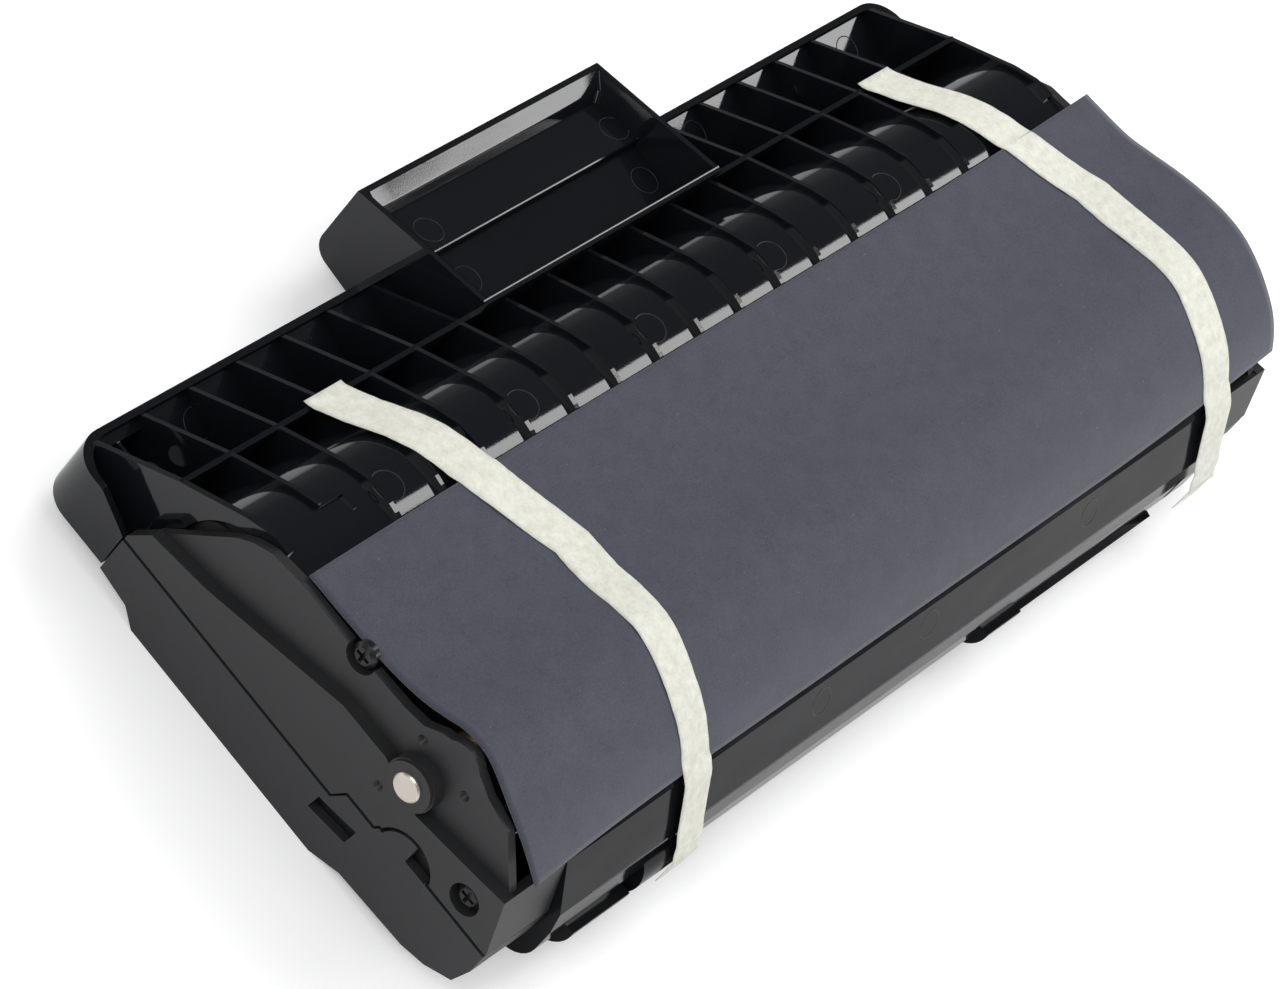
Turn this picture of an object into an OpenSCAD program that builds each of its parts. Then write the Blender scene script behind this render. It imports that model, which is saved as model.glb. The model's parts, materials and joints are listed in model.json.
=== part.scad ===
// A laser printer toner cartridge lying on its flat underside, with its packing paper taped on.
// X runs along the cartridge, +Y points to the grip at the rear and -Y to the waste bin at the front.
// Sections are drawn as [run, height]: run is measured forward from the rear rim, height from the floor.

/* [Housing] */
// Length between the outer faces of the two end caps
body_len = 300; // [280:1:330]
// Wall thickness of the mouldings
wall = 2; // [1.6:0.1:2.4]
// Height of the rear rim above the floor
rim_top = 21.5; // [19:0.5:24]
// Thickness of the rear rim wall
rim_t = 1.7; // [1.4:0.1:2.2]
// Depth of the step between the lower and the upper plate of an end cap
plate_step = 3.3; // [2.6:0.1:3.8]
// Thickness of the upper plate of an end cap
plate_t = 2.5; // [2:0.1:3]
// Running gap between mouldings that meet
seam_gap = 0.2; // [0.1:0.05:0.3]
// Width of the open line between an end cap and the lower shell
seam_line = 0.9; // [0.6:0.1:1.2]

/* [Ribs] */
// Thickness of a transverse rib
rib_t = 1.3; // [1:0.1:1.8]
// Number of transverse ribs between the end ribs
rib_count = 17; // [13:1:17]

/* [Grip] */
// Width of the grip along the cartridge
grip_w = 88; // [70:1:100]
// Reach of the grip behind the rear rim
grip_reach = 16.5; // [13:0.5:20]
// Depth of the tray in the top of the grip
grip_depth = 6.4; // [4:0.2:8]

/* [Drum] */
// Outer diameter of the photosensitive drum
drum_d = 30; // [28:0.5:30]
// Wall of the aluminium drum tube
drum_wall = 1; // [0.8:0.1:1.5]
// Diameter of the steel drum shaft
shaft_d = 7; // [6:0.2:8]
// Free length of the shaft outside the left end cap
shaft_left_out = 1.2; // [1:0.1:2]
// Free length of the shaft outside the right end cap
shaft_right_out = 4; // [3:0.5:6]
// Outer diameter of the locating boss round the shaft
boss_d = 12; // [11:0.2:14]
// How far the locating boss stands out of the end cap
boss_out = 0.8; // [0.6:0.1:1]
// How much wider the right boss is than the left one, so that the cartridge goes in one way round
boss_key = 1.6; // [1:0.2:1.6]

/* [Rollers] */
// Outer diameter of the developer roller
developer_d = 16; // [15:0.2:16.4]
// Outer diameter of the foam supply roller
supply_d = 13.8; // [13:0.2:14]
// Outer diameter of the charge roller
charge_d = 9; // [8:0.2:9.4]
// Gap between rollers, which soft rollers close by swelling
nip_gap = 0.3; // [0.2:0.05:0.4]
// Diameter of the developer roller's shaft
developer_shaft_d = 6; // [5:0.2:7]
// Diameter of the supply roller's shaft
supply_shaft_d = 5; // [4:0.2:5.6]
// Diameter of the charge roller's core
charge_shaft_d = 5; // [4:0.2:6]
// Diameter of the agitator's shaft
agitator_shaft_d = 5; // [4:0.2:6]
// Radial running clearance of shafts in their bushes
run_gap = 0.05; // [0.03:0.01:0.08]

/* [Gears] */
// Teeth on the drum gear
drum_teeth = 40; // [38:1:42]
// Teeth on the developer gear
developer_teeth = 20; // [19:1:21]
// Teeth on the idler gear
idler_teeth = 16; // [15:1:17]
// Teeth on the supply gear
supply_teeth = 14; // [13:1:15]
// Teeth on the agitator gear
agitator_teeth = 40; // [38:1:41]
// Face width of the gears
gear_w = 6; // [4:0.5:7]
// Play between meshed teeth
backlash = 0.16; // [0.1:0.02:0.24]

/* [Packing] */
// Length of the dark packing paper
paper_len = 297; // [280:1:300]
// Thickness of the packing paper
paper_t = 0.4; // [0.3:0.1:0.6]
// Width of the paper tapes
tape_w = 12.5; // [10:0.5:16]
// Thickness of the paper tapes
tape_t = 0.3; // [0.2:0.05:0.4]

/* [Hidden] */
$fn = 48;
eps = 0.01;

// Half the length, and the planes that stack up at each end of the cartridge
half_len = body_len / 2;
stretch = body_len / 300;
plate_b_x = half_len - plate_step;
cap_inner_x = plate_b_x - plate_t;
frame_x = cap_inner_x - seam_gap;
ear_t = plate_step - 0.9;
// How far the end mouldings wrap round the front
cap_return = 21;

// Bearing walls of the lower shell, and the gear plane to the right of the right one
wall_left_x = frame_x - 3.2;
wall_right_x = frame_x - 15.5;
bearing_t = 2.5;
gear_x = wall_right_x + 2.4;

// Flat underside, with the origin at its centre
rest_rear = 36.4;
rest_front = 96.5;
rim_y = (rest_rear + rest_front) / 2;
seam_z = 16.3;
front_seam_z = 22;
floor_low = 6.2;
rim_run = 22;
foot_run = 145;

// Drum centre, and gear module from the drum and developer centres
drum_c = [102.7, 38.2];
drum_r = drum_d / 2;
developer_r = developer_d / 2;
supply_r = supply_d / 2;
charge_r = charge_d / 2;
developer_span = drum_r + developer_r + nip_gap;
gear_module = 2 * developer_span / (drum_teeth + developer_teeth);
developer_c = drum_c + developer_span * unit(217);
supply_c = developer_c + (developer_r + supply_r + nip_gap) * unit(197.5);
agitator_c = supply_c + mesh_span(supply_teeth, agitator_teeth) * unit(168);
charge_c = drum_c + (drum_r + charge_r + nip_gap) * unit(-63);
idler_c = third_point(developer_c, mesh_span(developer_teeth, idler_teeth),
    supply_c, mesh_span(supply_teeth, idler_teeth));

// Each gear's angle, so that every tooth meets a gap
developer_phase = meshed(0, drum_teeth, drum_c, developer_teeth, developer_c);
idler_phase = meshed(developer_phase, developer_teeth, developer_c, idler_teeth, idler_c);
supply_phase = meshed(idler_phase, idler_teeth, idler_c, supply_teeth, supply_c);
agitator_phase = meshed(supply_phase, supply_teeth, supply_c, agitator_teeth, agitator_c);

// Toner hopper, a round trough closed by the ribbed frame
hopper_in = 20;
hopper_out = hopper_in + wall;
cover_top = agitator_c.y + hopper_out;
cover_front = 81;
lip_drop = 9;
bulge_rise = 1.1;
bulge_valley = 2.6;
rib_rise = 1.5;
agitator_r = mesh_span(supply_teeth, agitator_teeth) - supply_r - 0.7;

// Ribs: the long rib that joins them and the ridge at the hopper's rear
long_rib_run = 22.4;
long_rib_top = 35.3;
foot_wall_run = 26.4;
ridge_run = 44;
first_rib_x = -half_len + 22.2;
rib_pitch = -2 * (first_rib_x + 4.6) / (rib_count - 1);
// Tray floor, which slopes down from the rim to the long rib
tray_floor_rear = 19.6;
tray_floor_front = 12.2;

// Bushes and blades
bush_wall = 2;
drum_len = body_len - 52;
drum_left_x = -drum_len / 2 - 2;
drum_right_x = drum_len / 2 - 2;
blade_half = half_len - 37;
screw_head_d = 6.2;
screw_d = 3;
paper_left = -half_len + 6;
paper_right = paper_left + paper_len;
paper_lift = 0.35;

function unit(a) = [cos(a), sin(a)];
function mesh_span(a, b) = gear_module * (a + b) / 2;
function heading(a, b) = atan2(b.y - a.y, b.x - a.x);
// Centre of a wheel at ra from a and rb from b, on the upper side of the line
function third_point(a, ra, b, rb) =
    let (d = norm(b - a), along = (ra * ra - rb * rb + d * d) / (2 * d), h = sqrt(ra * ra - along * along))
    a + along * (b - a) / d + h * [b.y - a.y, a.x - b.x] / d;
function meshed(phase, teeth_a, a, teeth_b, b) =
    heading(a, b) + 180 + (heading(a, b) - phase) * teeth_a / teeth_b + 180 / teeth_b;
function arc(c, r, a0, a1, n) = [for (i = [0:n]) c + r * unit(a0 + (a1 - a0) * i / n)];
function reversed(path) = [for (i = [len(path) - 1:-1:0]) path[i]];
// Unit normal of a path at point i, on the upper side of a path that runs forward
function normal_at(path, i) =
    let (a = path[max(i - 1, 0)], b = path[min(i + 1, len(path) - 1)], d = b - a)
    [-d.y, d.x] / norm(d);
function raised(path, by) = [for (i = [0:len(path) - 1]) path[i] + by * normal_at(path, i)];
function band(path, low, high) = concat(raised(path, low), reversed(raised(path, high)));

// Extrudes a [run, height] section from x0 to x1
module along(x0, x1) {
    translate([x0, rim_y, 0]) mirror([0, 1, 0]) rotate([90, 0, 90]) linear_extrude(x1 - x0) children();
}
// Round bar along X
module rod(x0, x1, at, d) {
    translate([x0, rim_y - at.x, at.y]) rotate([0, 90, 0]) cylinder(d = d, h = x1 - x0);
}
module ring(x0, x1, at, d_out, d_in) {
    difference() {
        rod(x0, x1, at, d_out);
        rod(x0 - 1, x1 + 1, at, d_in);
    }
}
module disc(c, r) {
    translate(c) circle(r = r, $fn = 96);
}
module box2(low, high) {
    translate(low) square(high - low);
}

// Involute spur gear
function involute(a) = tan(a) * 180 / PI - a;
function flank(rho, r, teeth) =
    90 / teeth - backlash / (2 * r) * 180 / PI / 2 + involute(20) - involute(acos(min(1,
        r * cos(20) / rho)));
module gear_outline(teeth, phase) {
    r = gear_module * teeth / 2;
    root = r - 1.1 * gear_module;
    tip = r + 0.8 * gear_module;
    low = max(r * cos(20), root + 0.05);
    levels = [low, (low + r) / 2, r, (r + tip) / 2, tip];
    polygon([for (i = [0:teeth - 1]) let (a = phase + i * 360 / teeth) each concat(
        [root * unit(a - flank(low, r, teeth))],
        [for (rho = levels) rho * unit(a - flank(rho, r, teeth))],
        [for (k = [len(levels) - 1:-1:0]) levels[k] * unit(a + flank(levels[k], r, teeth))],
        [root * unit(a + flank(low, r, teeth))])]);
}
module gear(x0, at, teeth, phase, bore_d, hub_d) {
    difference() {
        union() {
            along(x0, x0 + gear_w) translate(at) gear_outline(teeth, phase);
            rod(x0 - 1, x0 + gear_w + 1.5, at, hub_d);
        }
        rod(x0 - 2, x0 + gear_w + 3, at, bore_d);
    }
}

// Outline of the side walls below the seam, seen from the left end
module ear_outline() {
    difference() {
        union() {
            polygon([[rim_run + 0.4, seam_z], [rim_run + 0.4, 5], [31.9, 3.7], [rest_rear, 0],
                [rest_front, 0], [104.7, 3.1], [124.7, 4.2], [131, 5.9], [137.4, 9.6], [138.9, 16],
                [138.7, front_seam_z], [104.2, front_seam_z], [103.4, 20.6], [94.5, 20.6], [92, seam_z]]);
            disc([112.4, 20.5], 7.2);
        }
        box2([113, front_seam_z], [119.2, 40]);
    }
}
// Upper edge of the lower plate, from the rear to the front
step_edge = [[22.5, 18.4], [26.6, 24.6], [42.9, 27.2], [81, 37.7], [95, 37.9], [104.2, 34.6],
    [108, 33.6], [123.9, 36.1], [133.9, 37.8]];
module plate_a_outline() {
    difference() {
        polygon(concat(step_edge, [[138.7, front_seam_z + 1.5], [138.7, front_seam_z + seam_line],
            [104, front_seam_z + seam_line], [103.2, 20.6 + seam_line], [94.3, 20.6 + seam_line],
            [91.9, seam_z + seam_line], [22.5, seam_z + seam_line]]));
        disc([112.4, 20.5], 7.2 + seam_line);
        translate([127.4, 28.9]) circle(d = 7.8);
    }
}
// Upper edge of the upper plate; its hump carries the paper clear of the drum
plate_b_edge = concat([[25.9, 22.2], [40.2, 41.4], [43.5, 44.2], [48, 46.6], [56.6, 47.8], [71, 47.6]],
    [[90.3, 48.4], [95.6, 49.4], [99.5, 52.4]], arc([106.4, 49.4], 6, 140, 40, 6),
    [[115.8, 50.6], [123.5, 48.6], [133.2, 36.5], [137.6, 24]]);
module plate_b_outline(screw_z) {
    difference() {
        polygon(concat(plate_b_edge, [[135.8, 21.8], [136.1, 16], [135.3, 11.4], [130, 8.4], [124.3, 7],
            [40, 7], [26, 12]]));
        disc([cap_screw_run, screw_z], screw_head_d / 2 + 0.9);
        translate([127.4, 28.9]) circle(d = screw_d + 0.4);
    }
}

// End cap drawn at the left; the right one is its mirror image with its screw lower and a wider boss
cap_screw_run = 76.4;
screw_z_left = 47.6;
screw_z_right = 42.8;
// Collar at the foot of each boss, level with the lower plate
boss_collar = 0.4;
module end_cap(screw_z, cap_boss_d) {
    difference() {
        union() {
            along(-half_len, -plate_b_x + eps) plate_a_outline();
            along(-plate_b_x, -cap_inner_x) plate_b_outline(screw_z);
            rod(-half_len, -plate_b_x + eps, drum_c, cap_boss_d + 2 * boss_collar);
            rod(-half_len - boss_out, -half_len + eps, drum_c, cap_boss_d);
            // Return of the cap round the front corner
            along(-half_len, -half_len + cap_return) polygon([[131.6, 36.4], [133.9, 37.8], [138.7,
                front_seam_z + 1.5],
                [138.7, front_seam_z + seam_line], [136.8, front_seam_z + seam_line], [136.8, 26]]);
        }
        rod(-half_len - boss_out - 1, -cap_inner_x + 1, drum_c, shaft_d + 2 * run_gap);
        // Three shallow tool marks round the boss
        for (at = [[plate_b_x, 97.6, 46.4], [half_len, 97.9, 30.4], [plate_b_x, 111.8, 45.4]])
            translate([-at.x - eps, rim_y - at.y, at.z]) rotate([0, 90, 0]) cylinder(d1 = 2.6, d2 = 1,
                h = 0.9);
    }
}
module end_cap_left() color("#2b2c2f") end_cap(screw_z_left, boss_d);
module end_cap_right() color("#2b2c2f") mirror([1, 0, 0])
    end_cap(screw_z_right, boss_d + boss_key);

// Lower shell: hopper trough, roller bed, drum bed, two bearing walls and the side ears
module shell_section() {
    difference() {
        polygon([[28.6, seam_z], [28.6, 9], [31.9, 3.7], [rest_rear, 0], [rest_front, 0], [104.7, 3.1],
            [119, 3.9], [119, 12], [119 - wall, 12], [119 - wall, 6.2], [104, 5.3], [95.8, 2.4],
            [93.6, 2.4], [93.6, 18], [91.2, 18], [88, seam_z]]);
        disc(agitator_c, hopper_in);
        disc(supply_c, supply_r + 1.2);
        disc(developer_c, developer_r + 1.2);
    }
}
module bearing_outline() {
    difference() {
        union() {
            disc(agitator_c, hopper_in - 0.2);
            polygon([agitator_c - [0, 15], [93.6, 2], [93.6, 30], [cover_front + 0.5,
                cover_top - lip_drop - 0.3],
                [cover_front - wall - 0.3, cover_top - lip_drop - 0.3],
                [cover_front - wall - 0.3, cover_top - wall - 0.3], [agitator_c.x,
                    cover_top - wall - 0.3]]);
        }
        disc(drum_c, drum_r + 2.3);
    }
}
module lower_shell() color("#232427") {
    difference() {
        union() {
            along(-frame_x, frame_x) shell_section();
            along(-wall_left_x, -wall_left_x + bearing_t) bearing_outline();
            along(wall_right_x - bearing_t, wall_right_x) bearing_outline();
            for (s = [0, 1]) mirror([s, 0, 0]) {
                along(-half_len, -half_len + ear_t) ear_outline();
                along(-half_len + ear_t - eps, -frame_x + eps) polygon([[31.9, 3.7], [rest_rear, 0],
                    [rest_front, 0], [104.7, 3.1], [118, 3.9], [118, 6], [45, 6.5], [34, 6.5]]);
            }
            // Front corners of the shell
            for (s = [0, 1]) mirror([s, 0, 0]) along(-half_len, -half_len + cap_return)
                polygon([[118, 3.9], [124.7, 4.2], [131, 5.9], [137.4, 9.6], [138.9, 16], [138.7,
                    front_seam_z],
                    [136.7, front_seam_z], [136.9, 16], [135.8, 11], [130.4, 7.9], [124.5, 6.2], [118,
                        5.9]]);
            // Post of the idler gear
            rod(wall_right_x - eps, gear_x + gear_w + 2.2, idler_c, 4);
        }
        for (at = [[developer_c, developer_shaft_d], [supply_c, supply_shaft_d], [agitator_c,
            agitator_shaft_d]]) {
            rod(-wall_left_x - 1, -wall_left_x + bearing_t + 1, at[0], at[1] + 2 * bush_wall + 0.1);
            rod(wall_right_x - bearing_t - 1, wall_right_x + 1, at[0], at[1] + 2 * bush_wall + 0.1);
        }
        // Filling hole of the hopper
        rod(-wall_left_x - 1, -wall_left_x + bearing_t + 1, fill_c, fill_d);
        // Snap window in each ear
        for (s = [0, 1]) mirror([s, 0, 0])
            along(-half_len - 1, -half_len + ear_t + 1) polygon([[90, 9], [101, 10.6], [101.4, 15.6],
                [90.4, 13.6]]);
    }
}
fill_c = agitator_c + [-11.6, 4];
fill_d = 12;

// Section of the hopper's roof, from the seam over the crest to the front edge
module roof_section() {
    difference() {
        union() {
            intersection() {
                disc(agitator_c, hopper_out);
                box2([0, seam_z], [agitator_c.x + eps, 60]);
            }
            box2([agitator_c.x, seam_z], [cover_front, cover_top]);
        }
        intersection() {
            disc(agitator_c, hopper_in);
            box2([0, 0], [agitator_c.x + eps, 60]);
        }
        box2([agitator_c.x, 0], [cover_front - wall, cover_top - wall]);
        box2([cover_front - wall - 1, 0], [cover_front + 1, cover_top - lip_drop]);
    }
}
// A web of the ribbed tray, from the rear rim over the hopper
rib_crest_r = hopper_out + rib_rise;
module rib_section(reach) {
    difference() {
        polygon(concat([[rim_t - 0.2, floor_low + 1], [rim_t - 0.2, rim_top - 0.4], [long_rib_run,
            long_rib_top],
            [38.2, agitator_c.y + 20.4]], arc(agitator_c, rib_crest_r, 101, 66, 6),
            [[agitator_c.x + 16, cover_top - 0.5], [agitator_c.x + 16, 30], [27, floor_low + 1]]));
        disc(agitator_c, hopper_in + wall / 2);
        box2([agitator_c.x, 0], [90, cover_top - wall / 2]);
        box2([28.4, 0], [90, seam_z]);
        box2([reach, 0], [120, 60]);
    }
}
module rim_plan(inset) {
    corner = 9;
    low = rim_y - rim_run;
    high = rim_y - inset;
    edge = half_len - inset;
    translate([-edge, low]) square([2 * edge, high - corner - low]);
    translate([-edge + corner, high - corner - eps]) square([2 * (edge - corner), corner + eps]);
    for (s = [-1, 1]) translate([s * (edge - corner), high - corner]) circle(r = corner);
}
// Rim of the tray, whose sides slope down to the end caps
module rim() {
    difference() {
        translate([0, 0, floor_low]) linear_extrude(rim_top - floor_low) rim_plan(0);
        translate([0, 0, floor_low - 1]) linear_extrude(rim_top) rim_plan(rim_t);
        along(-half_len - 1, half_len + 1) polygon([[12, rim_top], [rim_run + 1, seam_z + 0.2],
            [rim_run + 1, 60], [12, 60]]);
    }
}
module tray_floor() {
    difference() {
        intersection() {
            along(-half_len, half_len) polygon([[0, tray_floor_rear + 0.6], [rim_run + 1, tray_floor_front],
                [rim_run + 1, tray_floor_front - wall], [0, tray_floor_rear + 0.6 - wall]]);
            translate([0, 0, floor_low]) linear_extrude(rim_top) rim_plan(rim_t - 0.1);
        }
        // The pocket at the left end is deep, with a ledge along the rim
        along(-frame_x + 1, first_rib_x) box2([4, floor_low - 1], [rim_run + 2, rim_top + 1]);
    }
    along(-frame_x + 0.8, first_rib_x + 0.2) box2([rim_t - 0.3, floor_low + 0.2], [rim_run + 0.3,
        floor_low + wall]);
}
// Screw post and web of the deep pocket, and the ring at the right of the tray
module tray_fittings() {
    post = [-half_len + 17, 13];
    translate([post.x, rim_y - post.y, floor_low + 1]) cylinder(d = 5.2, h = 10.4);
    along(post.x - 3, post.x - 2.1) box2([rim_t - 0.4, floor_low + 0.6], [post.y, 18.4]);
    translate([94.5 * stretch, rim_y - 11, tray_floor_front + 1]) difference() {
        cylinder(d = 8, h = 4);
        translate([0, 0, -1]) cylinder(d = 5.6, h = 6);
    }
}
// Outer form of the grip, its tray and the hollow below it
grip_rise = (38.6 - 30) / (long_rib_run + grip_reach);
grip_top = 30;
function grip_line(run) = grip_top + (run + grip_reach) * grip_rise;
grip_step_run = 3.9;
grip_outline = concat([[long_rib_run + 0.6, grip_line(long_rib_run)], [long_rib_run + 0.6, floor_low + 1],
    [0, floor_low]], arc([-grip_reach + 5, floor_low + 6], 5, 260, 180, 5), [[-grip_reach, grip_top]]);
grip_tray = [[long_rib_run - 0.6, grip_line(long_rib_run) + 5], [long_rib_run - 0.6,
    grip_line(grip_step_run) - grip_depth - 2.2],
    [grip_step_run + 0.6, grip_line(grip_step_run) - grip_depth - 2.2],
    [grip_step_run, grip_line(grip_step_run) - grip_depth],
    [-grip_reach + 6.6, grip_line(-grip_reach + 6.6) - grip_depth], [-grip_reach + 5,
        grip_line(0) - grip_depth - 2],
    [-grip_reach + 1.5, grip_line(-grip_reach + 1.5)], [-grip_reach + 1.4, grip_line(0) + 5]];
grip_hollow = [[-grip_reach + wall, -1], [-grip_reach + wall, grip_top - 7.5],
    [-grip_reach + 7, grip_line(-grip_reach + 7) - grip_depth - wall - 0.6], [0,
        grip_line(0) - grip_depth - wall - 0.3], [0, -1]];
grip_hollow_front = [[rim_t, -1], [rim_t, grip_line(0) - grip_depth - wall - 0.3], [grip_step_run, 23.3],
    [long_rib_run - 0.6, 23.3], [long_rib_run - 0.6, -1]];
module ribbed_frame() color("#17181b") {
    difference() {
        union() {
            rim();
            tray_floor();
            tray_fittings();
            along(-half_len + ear_t + seam_gap, half_len - ear_t - seam_gap)
                box2([rim_run - 1, floor_low], [foot_wall_run, floor_low + wall]);
            along(-frame_x, frame_x) box2([foot_wall_run - 0.4, floor_low], [foot_wall_run + wall,
                seam_z + 4]);
            along(-frame_x, frame_x) roof_section();
            along(-frame_x, frame_x) box2([long_rib_run - 0.6, floor_low + 1], [long_rib_run + 0.6,
                long_rib_top]);
            for (i = [0:rib_count - 1]) {
                x = first_rib_x + i * rib_pitch;
                along(x - rib_t / 2, x + rib_t / 2) rib_section(i == 0 ? ridge_run : 90);
                if (i > 0 && i < rib_count - 1) bulge(x + rib_t / 2 - 0.1);
            }
            for (s = [0, 1]) mirror([s, 0, 0]) along(-frame_x, -frame_x + 1.6) rib_section(ridge_run + 6);
            // Index mark in the first bay
            along(first_rib_x, first_rib_x + 8) mark_section();
            along(first_rib_x + 7, first_rib_x + 8) box2([ridge_run, agitator_c.y + 20.6],
                [ridge_run + 4.6, mark_top]);
            along(-grip_w / 2, grip_w / 2) polygon(grip_outline);
        }
        along(-grip_w / 2 + 1.5, grip_w / 2 - 1.5) polygon(grip_tray);
        along(-grip_w / 2 + wall, grip_w / 2 - wall) polygon(grip_hollow);
        along(-grip_w / 2 + wall, grip_w / 2 - wall) polygon(grip_hollow_front);
    }
}
// Bulge of the roof beside a rib, round about the agitator
module bulge(x0) {
    along(x0, x0 + rib_pitch - rib_t - bulge_valley) difference() {
        intersection() {
            disc(agitator_c, hopper_out + bulge_rise);
            box2([ridge_run, 40], [agitator_c.x + 12, 60]);
        }
        disc(agitator_c, hopper_in + 0.6);
        box2([agitator_c.x, 0], [90, cover_top - wall / 2]);
    }
}
mark_top = agitator_c.y + hopper_out + 0.3;
module mark_section() {
    box2([ridge_run - 0.5, agitator_c.y + 20.6], [ridge_run + 0.5, mark_top]);
}

// Waste toner bin, which makes the front of the cartridge
bin_outer = concat([[119.4, 4.6], [134, 5]], arc([135.6, 12], 7, -86, 0, 7), [[142.4, 19], [141.2, 25],
    [134.2, 37.4],
    [127.4, 44.8], [122.6, 46.6], [120.8, 45.8], [120.8, 44.6], [122.6, 43.6]]);
bin_inner = concat([[123, 42.4], [127.2, 41.4], [132.4, 36], [139.2, 24.4], [140.4, 18.8]],
    arc([135.4, 12.2], 5, 0, -86, 6), [[125.6, 6.8], [125.6, 30], [123, 30]]);
bin_x = half_len - cap_return - seam_gap;
module waste_bin() color("#1b1c1f") {
    difference() {
        union() {
            difference() {
                along(-bin_x, bin_x) polygon(concat(bin_outer, [[123.8, 43.2], [123.8, 6.4], [119.4,
                    6.3]]));
                along(-bin_x + wall, bin_x - wall) polygon(bin_inner);
            }
            // Rounded block and fins at the left of the front
            along(-120 * stretch, -100 * stretch) bin_foot(0);
            along(-98.8 * stretch, -86 * stretch) bin_foot(1);
            for (x = [-84, -81.4, -78.8]) along(x * stretch, x * stretch + 1) bin_fin();
            // Hook and ledge at the right of the front
            along(38 * stretch, 52 * stretch) bin_foot(0);
            along(56 * stretch, 116 * stretch) polygon([[138, 5.6], [143.6, 7], [143.9, 8.6], [140, 9.4]]);
        }
        along(43 * stretch, 49 * stretch) polygon([[141.6, 8], [146, 8], [146, 13], [141.6, 13]]);
        along(118.6 * stretch, 121 * stretch) polygon([[141, 8], [146, 8], [146, 20], [141, 20]]);
    }
}
module bin_foot(up) {
    intersection() {
        disc([foot_run - 8.5, 13.4 + 3 * up], 8.5);
        box2([136, 5.2], [foot_run + 1, 14.6 + 8 * up]);
    }
}
module bin_fin() {
    polygon([[141.4, 9], [143.8, 10], [144, 19], [140.9, 24.4]]);
}

// Drum on its fixed steel shaft
module drum_shaft() color("#b9b4a4") {
    left = -half_len - shaft_left_out;
    right = half_len + shaft_right_out;
    rod(left, right, drum_c, shaft_d);
    translate([right - eps, rim_y - drum_c.x, drum_c.y]) rotate([0, 90, 0])
        cylinder(d1 = shaft_d, d2 = shaft_d - 1, h = 0.5);
    translate([left + eps, rim_y - drum_c.x, drum_c.y]) rotate([0, -90, 0])
        cylinder(d1 = shaft_d, d2 = shaft_d - 0.6, h = 0.3);
}
module drum_tube() color("#3f7f86") {
    ring(drum_left_x, drum_right_x, drum_c, drum_d, drum_d - 2 * drum_wall);
}
module flange(x0, plug, head) {
    difference() {
        union() {
            rod(x0, x0 + head, drum_c, drum_d - 1);
            rod(x0 + head - eps, x0 + head + plug, drum_c, drum_d - 2 * drum_wall - 0.1);
        }
        rod(x0 - 1, x0 + head + plug + 1, drum_c, shaft_d + 2 * run_gap);
        for (a = [0:60:300]) rod(x0 + 1.5, x0 + head + plug + 1, drum_c + 8.6 * unit(a), 4.6);
    }
}
module drum_flange() color("#2f3033") {
    head = 4;
    flange(drum_left_x - head, 8, head);
}
module drum_gear() color("#d7d3c6") {
    difference() {
        union() {
            along(gear_x, gear_x + gear_w) translate(drum_c) gear_outline(drum_teeth, 0);
            rod(drum_right_x, gear_x + gear_w + 1.5, drum_c, drum_d - 4);
            rod(drum_right_x - 8, drum_right_x + eps, drum_c, drum_d - 2 * drum_wall - 0.1);
        }
        rod(drum_right_x - 9, gear_x + gear_w + 3, drum_c, shaft_d + 2 * run_gap);
        for (a = [0:60:300]) rod(drum_right_x - 9, gear_x + gear_w - 1, drum_c + 8.2 * unit(a), 4.4);
    }
}

// Rollers, each on its own shaft
roller_left_x = -wall_left_x + bearing_t + 6;
roller_right_x = wall_right_x - bearing_t - 5;
module developer_shaft() color("#a9abae") rod(-wall_left_x - 0.6, gear_x + gear_w + 1.5, developer_c,
    developer_shaft_d);
module developer_sleeve() color("#26272b") ring(roller_left_x, roller_right_x, developer_c, developer_d,
    developer_shaft_d);
module developer_gear() color("#d7d3c6")
    gear(gear_x, developer_c, developer_teeth, developer_phase, developer_shaft_d, developer_shaft_d + 4);
module supply_shaft() color("#a9abae") rod(-wall_left_x - 0.6, gear_x + gear_w + 1.5, supply_c,
    supply_shaft_d);
module supply_foam() color("#5a5c60") ring(roller_left_x, roller_right_x, supply_c, supply_d,
    supply_shaft_d);
module supply_gear() color("#d7d3c6")
    gear(gear_x, supply_c, supply_teeth, supply_phase, supply_shaft_d, supply_shaft_d + 3);
module idler_gear() color("#d7d3c6")
    gear(gear_x, idler_c, idler_teeth, idler_phase, 4 + 2 * run_gap, 7);

// Agitator: a bar with paddle frames and a flexible film that sweeps the hopper
module agitator_shaft() color("#cfcabb") {
    bar_in = -wall_left_x + bearing_t + 4;
    bar_out = wall_right_x - bearing_t - 4;
    rod(-wall_left_x + 0.6, gear_x + gear_w + 1.5, agitator_c, agitator_shaft_d);
    difference() {
        along(bar_in, bar_out) box2(agitator_c + [-1, 0], agitator_c + [1, agitator_r - 1]);
        for (i = [0:5]) let (w = (bar_out - bar_in - 6) / 6)
            along(bar_in + 4 + i * w, bar_in + 1 + (i + 1) * w)
                box2(agitator_c + [-2, agitator_shaft_d / 2 + 1], agitator_c + [2, agitator_r - 4]);
    }
}
module agitator_film() color("#8f9599") {
    along(-wall_left_x + bearing_t + 5, wall_right_x - bearing_t - 5)
        box2(agitator_c + [1, agitator_r - 4], agitator_c + [1.3, agitator_r]);
}
module agitator_gear() color("#d7d3c6")
    gear(gear_x, agitator_c, agitator_teeth, agitator_phase, agitator_shaft_d, agitator_shaft_d + 5);

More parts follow.
